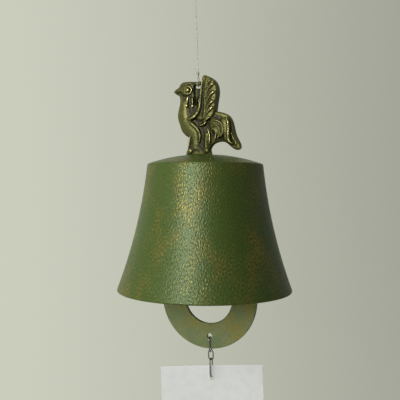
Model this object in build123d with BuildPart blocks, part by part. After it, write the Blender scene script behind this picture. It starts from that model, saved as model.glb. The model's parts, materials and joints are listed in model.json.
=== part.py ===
"""Furin wind bell: a cast bell under a bird finial, with a ring clapper and a paper strip.

Millimetres, +Z up. The origin is the inside top of the hanging loop, where a hook carries the bell.
The line, the chain and the paper hang plumb. The bell hangs a little askew, because the bird's
cord eye lies to one side of the bell's axis.
"""

import os
from math import acos, atan2, cos, hypot, pi, radians, sin, sqrt

from build123d import *

os.makedirs("parts", exist_ok=True)

# Hanging line
cord_dia = 0.5
hook_radius = 2.5
loop_drop = 15.0
knot_dia = 1.5
knot_face_dia = 1.1
knot_length = 1.8
line_length = 42.0
eye_knot_rise = 3.8
strand_gap = 0.1
strand_sink = 0.3
cord_clearance = 0.08

# Bell, measured from the plane of its shoulder
shoulder_radius = 26.8
rim_radius = 40.7
bell_height = 58.4
flare_hollow = 1.95
wall = 3.0
crown_wall = 3.5
dome_radius = 80.0
seat_radius = 9.5
shoulder_round = 0.5
rim_round = 0.8
inside_round = 2.5
hang_tilt = 2.5

# Bird finial, standing on the crown's seat
bird_thickness = 5.4
wing_thickness = 7.0
plate_round = 1.5
body_round = 1.3
foot_front = -8.4
foot_back = 2.7
eye_x = -3.7
eye_rise = 33.6
eye_bar_radius = 1.05
eye_bar_length = 7.0

# Eye bolt, washer and nut inside the crown
bolt_dia = 3.0
bolt_grip = 5.5
bolt_clearance = 0.2
thread_clearance = 0.04
washer_dia = 7.0
washer_thickness = 0.5
nut_flats = 5.5
nut_thickness = 2.4
neck_length = 5.5
bolt_eye_radius = 2.5
bolt_eye_wire = 1.6

# Chain links and clapper ring
wire_dia = 0.62
link_clearance = 0.06
upper_link_count = 4
long_link_length = 9.24
long_link_width = 3.54
ring_link_length = 7.54
ring_link_width = 3.74
middle_link_length = 5.04
middle_link_width = 2.84
ring_radius = 23.3
ring_bore_radius = 11.6
ring_thickness = 1.8
ring_hole_dia = 2.6
ring_edge_round = 0.3

# Paper strip
paper_width = 47.3
paper_length = 175.0
paper_thickness = 0.3
paper_hole_dia = 2.0
paper_hole_margin = 5.9
paper_turn = 18.0


def save(piece, name):
    """Label a finished piece and write its file."""
    piece.part.label = name
    export_step(piece.part, f"parts/{name}.step")


def cord_loop(name, plane, radius, knot_distance):
    """Cord pulled tight round a bar of the plane's axis: two strands that run to a knot along +Y."""
    strand_x = (cord_dia + strand_gap) / 2
    reach = hypot(strand_x, knot_distance)
    touch = atan2(knot_distance, strand_x) - acos(radius / reach)
    touch_point = (radius * cos(touch), radius * sin(touch))
    with BuildPart() as loop:
        with BuildLine(plane) as route:
            Line((strand_x, knot_distance), touch_point)
            ThreePointArc(touch_point, (0, -radius), (-touch_point[0], touch_point[1]))
            Line((-touch_point[0], touch_point[1]), (-strand_x, knot_distance))
        with BuildSketch(Plane(origin=route.line @ 0, z_dir=route.line % 0)):
            Circle(cord_dia / 2)
        sweep()
    expected = pi * cord_dia**2 / 4 * route.wires()[0].length
    print(f"{name}: arc radius {radius:.2f}, volume {loop.part.volume:.3f} of {expected:.3f}")
    save(loop, name)


def hole_offset(hole_dia, link_width, thickness):
    """Distance from a link's wire to the middle of the plate hole that bears on its bend."""
    bend = (link_width - wire_dia) / 2
    inside = bend - wire_dia / 2 - link_clearance
    return hole_dia / 2 - bend + sqrt(inside**2 - (thickness / 2) ** 2)


def rim_of_ring(edge):
    """True for the ring's outer and bore edges, which are larger than its two small holes."""
    return edge.radius > ring_hole_dia


def knot(name, top):
    """Barrel-shaped knot whose upper face is centred on a point."""
    face_radius = knot_face_dia / 2
    middle = (knot_dia / 2, -knot_length / 2)
    with BuildPart() as barrel:
        with BuildSketch(Plane(origin=top, x_dir=(1, 0, 0), z_dir=(0, -1, 0))):
            with BuildLine():
                Polyline((face_radius, 0), (0, 0), (0, -knot_length), (face_radius, -knot_length))
                ThreePointArc((face_radius, -knot_length), middle, (face_radius, 0))
            make_face()
        revolve(axis=Axis(top, (0, 0, 1)))
    save(barrel, name)


def wire_link(name, top, turn, length, width):
    """Closed oval wire link hanging from the centre of its top wire, turned about Z from the XZ plane."""
    bend = (width - wire_dia) / 2
    run = length - wire_dia - 2 * bend
    across = Vector(1, 0, 0).rotate(Axis.Z, turn)
    facing = Vector(0, -1, 0).rotate(Axis.Z, turn)
    with BuildPart() as link:
        with BuildLine(Plane(origin=top, x_dir=across, z_dir=facing)) as oval:
            Line((bend, -bend), (bend, -bend - run))
            CenterArc((0, -bend - run), bend, 0, -180)
            Line((-bend, -bend - run), (-bend, -bend))
            CenterArc((0, -bend), bend, 180, -180)
        with BuildSketch(Plane(origin=oval.line @ 0, z_dir=oval.line % 0)):
            Circle(wire_dia / 2)
        sweep()
    save(link, name)
    return top - Vector(0, 0, length - wire_dia)


# Hanging loop, line and knots
cord_radius = cord_dia / 2
knot_top = Vector(0, 0, -hook_radius - loop_drop)
line_top = knot_top - Vector(0, 0, knot_length)
line_bottom = line_top - Vector(0, 0, line_length)
eye_knot_bottom = line_bottom - Vector(0, 0, knot_length)
cord_eye = eye_knot_bottom - Vector(0, 0, eye_knot_rise)

hook_plane = Plane(origin=(0, 0, -hook_radius), x_dir=(1, 0, 0), z_dir=(0, 1, 0))
cord_loop("hanging_loop", hook_plane, hook_radius + cord_radius, loop_drop + strand_sink)
knot("top_knot", knot_top)

with BuildPart() as hanging_line:
    with BuildSketch(Plane(origin=line_top, x_dir=(1, 0, 0), z_dir=(0, -1, 0))):
        with BuildLine():
            Line((0, 0), (0, -line_length))
            Line((0, -line_length), (cord_radius, -line_length))
            Line((cord_radius, -line_length), (cord_radius, -cord_radius))
            RadiusArc((cord_radius, -cord_radius), (0, 0), -cord_radius)
        make_face()
    revolve(axis=Axis.Z)
save(hanging_line, "hanging_line")

knot("eye_knot", line_bottom)
eye_plane = Plane(origin=cord_eye, x_dir=(0, 1, 0), z_dir=(1, 0, 0))
eye_loop_radius = eye_bar_radius + cord_clearance + cord_radius
cord_loop("eye_loop", eye_plane, eye_loop_radius, eye_knot_rise + strand_sink)

# Heights in the bell, from the plane of its shoulder: the dome is part of a ball, with a flat seat
dome_centre = -sqrt(dome_radius**2 - shoulder_radius**2)
ceiling_radius = dome_radius - crown_wall
seat_z = dome_centre + sqrt(dome_radius**2 - seat_radius**2)
inner_shoulder = shoulder_radius - wall
inner_shoulder_z = dome_centre + sqrt(ceiling_radius**2 - inner_shoulder**2)
bolt_hole_radius = bolt_dia / 2 + bolt_clearance
ceiling_z = dome_centre + sqrt(ceiling_radius**2 - bolt_hole_radius**2)
middle_radius = (shoulder_radius + rim_radius) / 2 - flare_hollow

# The bell's own frame: its shoulder's centre, turned about the cord eye by the hang tilt
tilt = radians(hang_tilt)
bell_right = Vector(cos(tilt), 0, -sin(tilt))
bell_up = Vector(sin(tilt), 0, cos(tilt))
bell_origin = cord_eye - bell_right * eye_x - bell_up * (seat_z + eye_rise)
bell_plane = Plane(origin=bell_origin, x_dir=bell_right, z_dir=bell_up)
side_plane = Plane(origin=bell_origin, x_dir=bell_right, z_dir=(0, -1, 0))
bell_axis = Axis(bell_origin, bell_up)

# Bell body
with BuildPart() as bell_body:
    with BuildSketch(side_plane) as profile:
        with BuildLine():
            Line((bolt_hole_radius, ceiling_z), (bolt_hole_radius, seat_z))
            Line((bolt_hole_radius, seat_z), (seat_radius, seat_z))
            RadiusArc((seat_radius, seat_z), (shoulder_radius, 0), dome_radius)
            ThreePointArc(
                (shoulder_radius, 0),
                (middle_radius, -bell_height / 2),
                (rim_radius, -bell_height),
            )
            Line((rim_radius, -bell_height), (rim_radius - wall, -bell_height))
            ThreePointArc(
                (rim_radius - wall, -bell_height),
                (middle_radius - wall, -bell_height / 2),
                (inner_shoulder, inner_shoulder_z),
            )
            RadiusArc((inner_shoulder, inner_shoulder_z), (bolt_hole_radius, ceiling_z), -ceiling_radius)
        make_face()
        corners = profile.vertices()
        fillet(corners.sort_by_distance((shoulder_radius, 0))[0], shoulder_round)
        fillet(corners.sort_by_distance((inner_shoulder, inner_shoulder_z))[0], inside_round)
        fillet(corners.group_by(Axis.Y)[0], rim_round)
    revolve(axis=bell_axis)
save(bell_body, "bell_body")

# Bird finial: a side outline of feet, breast, head and tail, measured from the seat, and a thicker wing
bird_plane = Plane(origin=bell_origin + bell_up * seat_z, x_dir=bell_right, z_dir=(0, -1, 0))
crest = eye_rise + eye_bar_radius
chin = (-12.7, crest - 6.1)
beak_tip = (-16.2, crest - 4.4)
brow = (-12.4, crest - 1.7)
back = (0.0, 22.9)
tail_tip = (17.3, 4.3)
wing_tip = (eye_x + 2.5, crest + 1.9)
wing_curl = (-6.9, 18.2)
neck = [(eye_x - 3.4, crest - 0.2), (eye_x - 1.7, crest - 7.3)]
leading_edge = [(eye_x + 2.1, crest - 2.3), (eye_x + 1.8, crest - 8.3)]

with BuildPart() as wing:
    with BuildSketch(bird_plane):
        with BuildLine():
            Spline(wing_tip, *leading_edge, (-3.2, 21.1), wing_curl)
            Spline(wing_curl, (-1.0, 13.9), (3.4, 16.5), (5.6, 21.9), (6.4, 27.9), (4.2, 33.8), wing_tip)
        make_face()
    extrude(amount=wing_thickness / 2, both=True)
    fillet(wing.faces().filter_by(Axis.Y).edges(), plate_round)

with BuildPart() as body:
    with BuildSketch(bird_plane):
        with BuildLine():
            Spline((foot_front, 0), (-7.2, 6.9), (-10.3, 12.0), (-13.2, 18.3), (-11.9, 25.1), chin)
            Polyline(chin, beak_tip, brow)
            Spline(brow, (-10.8, crest - 0.1), *neck, (-3.6, 24.3), back)
            Spline(back, (5.5, 20.6), (10.8, 18.9), (13.8, 13.9), (15.1, 8.9), tail_tip)
            Spline(tail_tip, (16.0, 2.5), (13.6, 2.9), (8.3, 6.4), (4.6, 4.7), (foot_back, 0))
            Line((foot_back, 0), (foot_front, 0))
        make_face()
    extrude(amount=bird_thickness / 2, both=True)
    fillet(body.faces().filter_by(Axis.Y).edges(), body_round)

with BuildPart() as bird_finial:
    add(body.part)
    add(wing.part)
    with Locations(bird_plane * Location((eye_x, eye_rise), (0, 90, 0))):
        Cylinder(eye_bar_radius, eye_bar_length)
    with Locations(bird_plane * Location((0, 0, 0), (90, 0, 0))):
        Cylinder(bolt_dia / 2 + thread_clearance, 2 * bolt_grip, mode=Mode.SUBTRACT)
save(bird_finial, "bird_finial")

# Eye bolt, washer and nut: the washer's edge bears on the curved ceiling
washer_top = dome_centre + sqrt(ceiling_radius**2 - (washer_dia / 2) ** 2)
nut_top = washer_top - washer_thickness
nut_bottom = nut_top - nut_thickness
bolt_eye_outer = bolt_eye_radius + bolt_eye_wire / 2
bolt_eye_z = nut_bottom - neck_length - bolt_eye_outer
bolt_end = seat_z + bolt_grip - thread_clearance

with BuildPart() as crown_washer:
    with BuildSketch(bell_plane.offset(nut_top)):
        Circle(washer_dia / 2)
        Circle(bolt_hole_radius, mode=Mode.SUBTRACT)
    extrude(amount=washer_thickness)
save(crown_washer, "crown_washer")

with BuildPart() as crown_nut:
    with BuildSketch(bell_plane.offset(nut_bottom)):
        RegularPolygon(nut_flats / 2, 6, major_radius=False)
        Circle(bolt_dia / 2 + thread_clearance, mode=Mode.SUBTRACT)
    extrude(amount=nut_thickness)
save(crown_nut, "crown_nut")

with BuildPart() as eye_bolt:
    with BuildSketch(bell_plane.offset(bolt_eye_z + bolt_eye_radius)):
        Circle(bolt_dia / 2)
    extrude(amount=bolt_end - bolt_eye_z - bolt_eye_radius)
    with Locations(bell_plane * Location((0, 0, bolt_eye_z), (0, 90, 0))):
        Torus(bolt_eye_radius, bolt_eye_wire / 2)
save(eye_bolt, "eye_bolt")

# Upper chain: each link's top wire rests in the bend above it, every second link turned square
next_wire = wire_dia + link_clearance
chain_top = bolt_eye_z - bolt_eye_radius + (bolt_eye_wire + wire_dia) / 2 + link_clearance
wire_point = bell_plane.from_local_coords(Vector(0, 0, chain_top))
for index in range(upper_link_count):
    turn = 90 * (index % 2)
    print(f"upper_link_{index + 1} top wire {wire_point}")
    bottom_wire = wire_link(f"upper_link_{index + 1}", wire_point, turn, long_link_length, long_link_width)
    wire_point = bottom_wire + Vector(0, 0, next_wire)

# Clapper ring, hung by its upper hole on the last link
hole_circle = (ring_radius + ring_bore_radius) / 2
upper_offset = hole_offset(ring_hole_dia, long_link_width, ring_thickness)
ring_pivot = bottom_wire
ring_centre = ring_pivot - Vector(0, 0, upper_offset + hole_circle)
with BuildPart() as clapper_ring:
    with BuildSketch(Plane(origin=ring_centre, x_dir=(1, 0, 0), z_dir=(0, -1, 0))):
        Circle(ring_radius)
        Circle(ring_bore_radius, mode=Mode.SUBTRACT)
        with PolarLocations(hole_circle, 2, start_angle=90):
            Circle(ring_hole_dia / 2, mode=Mode.SUBTRACT)
    extrude(amount=ring_thickness / 2, both=True)
    fillet(clapper_ring.edges().filter_by(GeomType.CIRCLE).filter_by(rim_of_ring), ring_edge_round)
save(clapper_ring, "clapper_ring")

# Lower links, from the ring's lower hole to the paper
lower_offset = hole_offset(ring_hole_dia, ring_link_width, ring_thickness)
ring_wire = ring_centre - Vector(0, 0, hole_circle + lower_offset)
bottom_wire = wire_link("ring_link", ring_wire, 90, ring_link_length, ring_link_width)
middle_wire = bottom_wire + Vector(0, 0, next_wire)
bottom_wire = wire_link("middle_link", middle_wire, 0, middle_link_length, middle_link_width)
paper_wire = bottom_wire + Vector(0, 0, next_wire)
bottom_wire = wire_link("paper_link", paper_wire, 90, long_link_length, long_link_width)

# Paper strip, hung by its hole and turned a little about the chain
paper_pivot = bottom_wire
paper_hole = paper_pivot - Vector(0, 0, hole_offset(paper_hole_dia, long_link_width, paper_thickness))
paper_right = Vector(1, 0, 0).rotate(Axis.Z, paper_turn)
paper_front = Vector(0, -1, 0).rotate(Axis.Z, paper_turn)
with BuildPart() as paper_strip:
    with BuildSketch(Plane(origin=paper_hole, x_dir=paper_right, z_dir=paper_front)):
        with Locations((0, paper_hole_margin)):
            Rectangle(paper_width, paper_length, align=(Align.CENTER, Align.MAX))
        Circle(paper_hole_dia / 2, mode=Mode.SUBTRACT)
    extrude(amount=paper_thickness / 2, both=True)
save(paper_strip, "paper_strip")

pivots = {
    "line top": line_top,
    "line bottom": line_bottom,
    "cord eye": cord_eye,
    "bell shoulder": bell_origin,
    "bolt eye wire": bell_plane.from_local_coords(Vector(0, 0, bolt_eye_z - bolt_eye_radius)),
    "ring": ring_pivot,
    "ring centre": ring_centre,
    "ring link": ring_wire,
    "middle link": middle_wire,
    "paper link": paper_wire,
    "paper": paper_pivot,
}
for place, point in pivots.items():
    print(f"{place}: {point.X:.3f}, {point.Y:.3f}, {point.Z:.3f}")
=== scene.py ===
"""Furin wind bell: a patinated cast bell with a bird finial, a ring clapper and a paper strip.

Everything is in metres, in the frame of the solid model: +Z up, origin inside the hanging loop.
"""

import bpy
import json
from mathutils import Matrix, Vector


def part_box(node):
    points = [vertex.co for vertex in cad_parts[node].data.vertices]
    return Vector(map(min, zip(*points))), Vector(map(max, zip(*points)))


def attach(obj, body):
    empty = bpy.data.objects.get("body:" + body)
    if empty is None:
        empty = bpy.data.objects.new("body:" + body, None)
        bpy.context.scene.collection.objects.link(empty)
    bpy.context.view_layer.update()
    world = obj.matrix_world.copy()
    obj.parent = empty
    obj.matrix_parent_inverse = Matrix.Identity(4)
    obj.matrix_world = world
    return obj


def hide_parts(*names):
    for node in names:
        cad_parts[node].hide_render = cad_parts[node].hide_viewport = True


bl_info = {
    "name": "Furin Wind Bell",
    "version": (1, 0, 0),
    "blender": (4, 5, 0),
    "location": "3D View > Sidebar > Wind Bell",
    "description": "Dresses the solid model of a wind bell with cast, wire, nylon and paper surfaces",
    "category": "Add Mesh",
}

import json

import bpy
import numpy as np
from bpy.props import FloatProperty, FloatVectorProperty, IntProperty, PointerProperty
from bpy.types import Operator, Panel, PropertyGroup
from mathutils import Matrix, Vector

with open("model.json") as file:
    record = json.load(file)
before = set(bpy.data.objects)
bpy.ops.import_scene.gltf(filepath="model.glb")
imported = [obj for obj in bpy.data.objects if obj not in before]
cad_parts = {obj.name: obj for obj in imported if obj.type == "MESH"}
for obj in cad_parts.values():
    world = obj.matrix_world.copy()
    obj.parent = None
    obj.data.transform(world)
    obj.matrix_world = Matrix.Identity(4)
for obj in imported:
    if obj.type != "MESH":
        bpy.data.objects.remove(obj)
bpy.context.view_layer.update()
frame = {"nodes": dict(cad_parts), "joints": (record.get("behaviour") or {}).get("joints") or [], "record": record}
MM = 0.001
# From the solid model: its joints by name, and the body and material slot of each node
JOINTS = {joint["name"]: joint for joint in frame["joints"]}
BODY_OF = {node: body for body, nodes in frame["record"]["behaviour"]["bodies"].items() for node in nodes}
SLOT_OF = {part["node"]: part["material_slot"] for part in frame["record"]["subparts"]}


def linear(hex_colour):
    """Linear RGB of an sRGB hex colour."""
    srgb = np.array([int(hex_colour[place:place + 2], 16) for place in (1, 3, 5)]) / 255
    return tuple(np.where(srgb <= 0.04045, srgb / 12.92, ((srgb + 0.055) / 1.055) ** 2.4))


def size(name, description, millimetres):
    """A length property, written in millimetres."""
    length = millimetres * MM
    return FloatProperty(name=name, description=description, default=length, unit="LENGTH", precision=5)


def turn(name, description, degrees):
    """An angle property, written in degrees."""
    return FloatProperty(name=name, description=description, default=np.radians(degrees), subtype="ANGLE")


def tint(name, description, hex_colour):
    """A colour property, written as an sRGB hex value."""
    colour = linear(hex_colour)
    return FloatVectorProperty(name=name, description=description, default=colour, size=3, subtype="COLOR")


class BellSizes(PropertyGroup):
    """Cast bell, measured from the plane of its shoulder."""
    shoulder_radius: size("Shoulder radius", "Radius of the edge between crown and side", 26.8)
    rim_radius: size("Rim radius", "Outer radius of the mouth", 40.7)
    height: size("Height", "Shoulder to mouth", 58.4)
    flare_hollow: size("Flare hollow", "How far the side curves in from a straight cone", 1.95)
    wall: size("Wall", "Thickness of the side", 3.0)
    crown_wall: size("Crown wall", "Thickness of the crown", 3.5)
    dome_radius: size("Dome radius", "Radius of the crown's ball", 80.0)
    seat_radius: size("Seat radius", "Radius of the flat where the bird stands", 9.5)
    shoulder_round: size("Shoulder round", "Rounding of the shoulder", 0.5)
    rim_round: size("Rim round", "Rounding of the mouth's two edges", 0.8)
    inside_round: size("Inside round", "Rounding inside the shoulder", 2.5)
    hole_radius: size("Hole radius", "Radius of the crown's bolt hole", 1.7)
    tilt: turn("Tilt", "Lean of the hanging bell towards the bird's tail", 2.5)
    grain_height: size("Grain height", "Relief of the wrinkled cast skin", 0.05)
    grain_width: size("Grain width", "Wavelength of the cast skin around the bell", 1.1)
    grain_length: size("Grain length", "Wavelength of the cast skin down the bell", 1.7)
    columns: IntProperty(name="Columns", description="Mesh columns around the bell", default=580)
    rows: IntProperty(name="Rows", description="Mesh rows down the bell's side", default=112)


class BirdSizes(PropertyGroup):
    """Bird finial, measured from the bell's axis and the crown's seat."""
    eye_x: size("Eye offset", "Place of the cord bar along the bird", -3.7)
    eye_rise: size("Eye rise", "Height of the cord bar", 33.6)
    bar_radius: size("Bar radius", "Radius of the bar that carries the cord", 1.05)
    body_half: size("Body half thickness", "Half the thickness of body and tail", 1.7)
    wing_half: size("Wing half thickness", "Half the thickness of the wing", 2.75)
    voxel: size("Voxel", "Cell of the joined surface", 0.2)


class CordSizes(PropertyGroup):
    """Clear nylon line."""
    diameter: size("Diameter", "Diameter of the nylon", 0.5)
    hook_radius: size("Hook radius", "Radius of the hook that the loop fits", 2.5)
    loop_drop: size("Loop drop", "Hook's middle to the upper knot", 15.0)
    strand_gap: size("Strand gap", "Space between the two strands at a knot", 0.1)
    strand_sink: size("Strand sink", "How far a strand runs into its knot", 0.3)
    bar_clearance: size("Bar clearance", "Space between the bird's bar and the cord", 0.08)
    wrap_radius: size("Wrap radius", "Radius of the knot's turns", 0.48)
    tag_length: size("Tag length", "Length of the knot's cut end", 1.7)


class LinkSizes(PropertyGroup):
    """Wire links and crown fittings."""
    butt_gap: size("Butt gap", "Opening where a link's two wire ends meet", 0.1)
    thread_pitch: size("Thread pitch", "Pitch of the eye bolt's thread", 0.5)
    thread_depth: size("Thread depth", "Depth of the eye bolt's thread", 0.27)
    bolt_radius: size("Bolt radius", "Outer radius of the thread", 1.5)
    bolt_eye_radius: size("Bolt eye radius", "Ring radius of the bolt's eye", 2.5)
    bolt_eye_wire: size("Bolt eye wire", "Wire radius of the bolt's eye", 0.8)
    nut_flats: size("Nut flats", "Width of the nut across its flats", 5.5)
    nut_chamfer: size("Nut chamfer", "Height of the nut's turned-down corners", 0.35)


class PaperSizes(PropertyGroup):
    """Paper strip, measured from its hole."""
    width: size("Width", "Width of the strip", 47.3)
    length: size("Length", "Length of the strip", 175.0)
    thickness: size("Thickness", "Thickness of the paper", 0.3)
    hole_radius: size("Hole radius", "Radius of the punched hole", 1.0)
    hole_margin: size("Hole margin", "Top edge to the middle of the hole", 5.9)
    turn: turn("Turn", "Turn of the strip about the chain", 18.0)
    curl: size("Curl", "How far the side edges bow forward", 0.9)
    wave: size("Wave", "Bow along the strip", 1.2)


class Finishes(PropertyGroup):
    """Colours of the finishes."""
    patina_green: tint("Patina green", "Main colour of the bell's patina", "#43561A")
    patina_olive: tint("Patina olive", "Browner patches of the patina", "#545619")
    patina_blue: tint("Patina blue", "Bluer patches of the patina", "#42571E")
    patina_dark: tint("Patina dark", "Pits of the cast skin", "#2C3712")
    rubbed_gold: tint("Rubbed gold", "Metal rubbed bare on the high spots", "#86813C")
    # Brown of the lacquer, also laid as painted shade in the bird's creases, hollows and side faces
    bird_brown_and_shade: tint("Bird brown", "Recesses of the bird", "#2C2B19")
    bird_olive: tint("Bird olive", "Faces of the bird", "#5C5C31")
    bird_gold: tint("Bird gold", "Rubbed ridges of the bird", "#D6CA86")
    ring_olive: tint("Ring olive", "Toned face of the clapper ring", "#7C7F56")
    ring_green: tint("Ring green", "Green clouds on the clapper ring", "#6B7953")
    ring_gold: tint("Ring gold", "Worn patches of the clapper ring", "#7F7B43")
    nickel: tint("Nickel", "Plating of the wire links", "#98978F")
    steel: tint("Steel", "Zinc-plated bolt, nut and washer", "#A3A49E")
    nylon: tint("Nylon", "Clear line", "#DDE0D6")
    paper: tint("Paper", "Unprinted paper", "#E6E8E5")
    backdrop: tint("Backdrop", "Floor, and background on the lit side", "#CED0C0")
    backdrop_shade: tint("Backdrop shade", "Background on the side away from the light", "#898C80")


class StageSizes(PropertyGroup):
    """Camera and studio."""
    azimuth: turn("Azimuth", "Camera's turn from the bird's flank towards its tail", 22.0)
    roll: turn("Roll", "Camera's lean", 2.0)
    distance: size("Distance", "Camera to the hanging line", 280.0)
    drop: size("Drop", "Shoulder of the bell to the camera's height", 16.5)
    aside: size("Aside", "How far the camera aims left of the hanging line", 1.12)
    lens: FloatProperty(name="Lens", description="Focal length on 36 mm film", default=54.0, unit="CAMERA")
    floor_drop: size("Floor drop", "Lower end of the paper to the floor", 250.0)
    floor_radius: size("Floor radius", "Radius of the round floor", 900.0)


class WindBellSettings(PropertyGroup):
    """All settings of the wind bell."""
    bell: PointerProperty(type=BellSizes)
    bird: PointerProperty(type=BirdSizes)
    cord: PointerProperty(type=CordSizes)
    links: PointerProperty(type=LinkSizes)
    paper: PointerProperty(type=PaperSizes)
    finish: PointerProperty(type=Finishes)
    stage: PointerProperty(type=StageSizes)


# Geometry

def smooth_path(points, count, closed=False):
    """Catmull-Rom curve: each span is the cubic whose end slopes are half the chord of its neighbours."""
    p = np.asarray(points, float)
    ends = (p[-1:], p[:2]) if closed else (2 * p[:1] - p[1:2], 2 * p[-1:] - p[-2:-1])
    knots = np.vstack([ends[0], p, ends[1]])
    spans = len(knots) - 3
    place = np.linspace(0, spans, count, endpoint=not closed)
    span = np.minimum(place.astype(int), spans - 1)
    f = (place - span)[:, None]
    a, b, c, d = (knots[span + step] for step in range(4))
    return b + 0.5 * f * (c - a + f * (2 * a - 5 * b + 4 * c - d + f * (3 * (b - c) + d - a)))


def unit(vectors):
    """Vectors scaled to length one."""
    return vectors / np.linalg.norm(vectors, axis=-1, keepdims=True)


def skin(rings, wrap=False):
    """Points and faces of a stack of closed rings: quads between neighbours, flat ends unless it wraps."""
    count, around = rings.shape[:2]
    index = np.arange(count * around).reshape(count, around)
    below = index if wrap else index[:-1]
    above = np.roll(index, -1, axis=0) if wrap else index[1:]
    quads = np.stack([below, np.roll(below, -1, 1), np.roll(above, -1, 1), above], -1).reshape(-1, 4).tolist()
    ends = [] if wrap else [index[0, ::-1].tolist(), index[-1].tolist()]
    return rings.reshape(-1, 3), quads + ends


def tube(path, widths, heights, across, sides=16, wrap=False):
    """Rings of an ellipse carried along a path, its height along across and its width square to both."""
    step = np.roll(path, -1, 0) - np.roll(path, 1, 0) if wrap else np.gradient(path, axis=0)
    along = unit(step)
    side = unit(np.cross(np.asarray(across, float), along))
    lift = np.cross(along, side)
    angle = np.linspace(0, 2 * np.pi, sides, endpoint=False)
    wide = np.broadcast_to(widths, len(path))[:, None, None] * np.cos(angle)[None, :, None]
    high = np.broadcast_to(heights, len(path))[:, None, None] * np.sin(angle)[None, :, None]
    return path[:, None] + wide * side[:, None] + high * lift[:, None]


def spindle(count, blunt=4, reach=0.985):
    """Widths that swell to one and back: the square root of one less a power of the place, cut just short."""
    place = np.linspace(-reach, reach, count)
    return np.sqrt(1 - np.abs(place) ** blunt)


def joined(shells):
    """One set of points and faces from several."""
    points, faces, start = [], [], 0
    for shell_points, shell_faces in shells:
        points.append(shell_points)
        faces += [[corner + start for corner in face] for face in shell_faces]
        start += len(shell_points)
    return np.vstack(points), faces


def mesh_object(name, points, faces, material):
    """A smooth-shaded object at the origin whose place is in its mesh."""
    mesh = bpy.data.meshes.new(name)
    mesh.from_pydata(points.tolist(), [], faces, shade_flat=False)
    mesh.validate()
    mesh.materials.append(material)
    piece = bpy.data.objects.new(name, mesh)
    bpy.context.scene.collection.objects.link(piece)
    return piece


def stands_for(piece, node):
    """Ride on a solid's body and hide it."""
    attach(piece, BODY_OF[node])
    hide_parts(node)


def set_attribute(piece, name, values):
    """Store one number for each point of a piece."""
    attribute = piece.data.attributes.new(name, "FLOAT", "POINT")
    attribute.data.foreach_set("value", np.ascontiguousarray(values, np.float32))


def sharpen(piece, degrees):
    """Keep edges crisp where two faces meet at more than an angle."""
    piece.data.set_sharp_from_angle(angle=np.radians(degrees))


def bell_frame(bell, bird):
    """The bell's right and up directions and its shoulder's centre, hung by the bird's bar on the cord."""
    right = np.array([np.cos(bell.tilt), 0, -np.sin(bell.tilt)])
    up = np.array([np.sin(bell.tilt), 0, np.cos(bell.tilt)])
    eye = np.array(JOINTS["bell_tilt"]["pos_m"])
    return right, up, eye - right * bird.eye_x - up * (seat_height(bell) + bird.eye_rise)


def dome_centre(bell):
    """Height of the centre of the crown's ball."""
    return -np.sqrt(bell.dome_radius ** 2 - bell.shoulder_radius ** 2)


def seat_height(bell):
    """Height of the crown's flat seat."""
    return dome_centre(bell) + np.sqrt(bell.dome_radius ** 2 - bell.seat_radius ** 2)


def arc(start, middle, end, count):
    """Points of the circle through three points, by the angle about its centre."""
    (ax, ay), (bx, by), (cx, cy) = start, middle, end
    slopes = 2 * np.array([[bx - ax, by - ay], [cx - bx, cy - by]])
    levels = np.array([bx ** 2 + by ** 2 - ax ** 2 - ay ** 2, cx ** 2 + cy ** 2 - bx ** 2 - by ** 2])
    centre = np.linalg.solve(slopes, levels)
    spoke = np.array([start, middle, end]) - centre
    angle = np.unwrap(np.arctan2(spoke[:, 1], spoke[:, 0]))
    sweep = np.linspace(angle[0], angle[2], count)
    return centre + np.linalg.norm(spoke[0]) * np.stack([np.cos(sweep), np.sin(sweep)], -1)


def rounded(before, after, radius, count=4):
    """Two runs that share a corner, cut back by radius and joined by a parabola that is tangent to both."""
    corner = before[-1]
    first = before[np.linalg.norm(before - corner, axis=1) > radius]
    second = after[np.linalg.norm(after - corner, axis=1) > radius]
    start = corner + radius * unit(first[-1] - corner)
    end = corner + radius * unit(second[0] - corner)
    f = np.linspace(0, 1, count)[:, None]
    bend = (1 - f) ** 2 * start + 2 * f * (1 - f) * corner + f ** 2 * end
    return first, bend, second


def bell_profile(bell):
    """Closed section of the wall as radius and height, outer side upward, and each point's share of grain."""
    crown_rows, seat_rows, roof_rows, inside_rows, lip_rows = 14, 5, 7, 10, 5
    ceiling = bell.dome_radius - bell.crown_wall
    middle = (bell.shoulder_radius + bell.rim_radius) / 2 - bell.flare_hollow
    inner = bell.shoulder_radius - bell.wall

    def on_ball(radius, ball):
        """Radius, and height by the circle's equation, on a ball about the crown's centre."""
        return np.array([radius, dome_centre(bell) + np.sqrt(ball ** 2 - radius ** 2)])

    rim_out = np.array([bell.rim_radius, -bell.height])
    rim_in = np.array([bell.rim_radius - bell.wall, -bell.height])
    shoulder = np.array([bell.shoulder_radius, 0.0])
    outer = arc(rim_out, (middle, -bell.height / 2), shoulder, bell.rows)
    crown_radii = np.linspace(bell.shoulder_radius, bell.seat_radius, crown_rows)
    crown = np.stack(on_ball(crown_radii, bell.dome_radius), -1)
    seat = np.linspace(crown[-1], (bell.hole_radius, crown[-1][1]), seat_rows)
    ceiling_radii = np.linspace(bell.hole_radius, inner, roof_rows)
    roof = np.stack(on_ball(ceiling_radii, ceiling), -1)
    inside = arc(roof[-1], (middle - bell.wall, -bell.height / 2), rim_in, inside_rows)
    lip = np.linspace(rim_in, rim_out, lip_rows)
    outer, shoulder_bend, crown = rounded(outer, crown, bell.shoulder_round)
    roof, inside_bend, inside = rounded(roof, inside, bell.inside_round)
    inside, lip_in, lip = rounded(inside, lip, bell.rim_round)
    lip, lip_out, outer = rounded(lip, outer, bell.rim_round)
    runs = [outer, shoulder_bend, crown, seat[1:], roof, inside_bend, inside, lip_in, lip, lip_out]
    shares = [1.0, 0.4, 0.5, 0.0, 0.4, 0.4, 0.5, 0.4, 0.4, 0.4]
    return np.vstack(runs), np.repeat(shares, [len(run) for run in runs])


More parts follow.
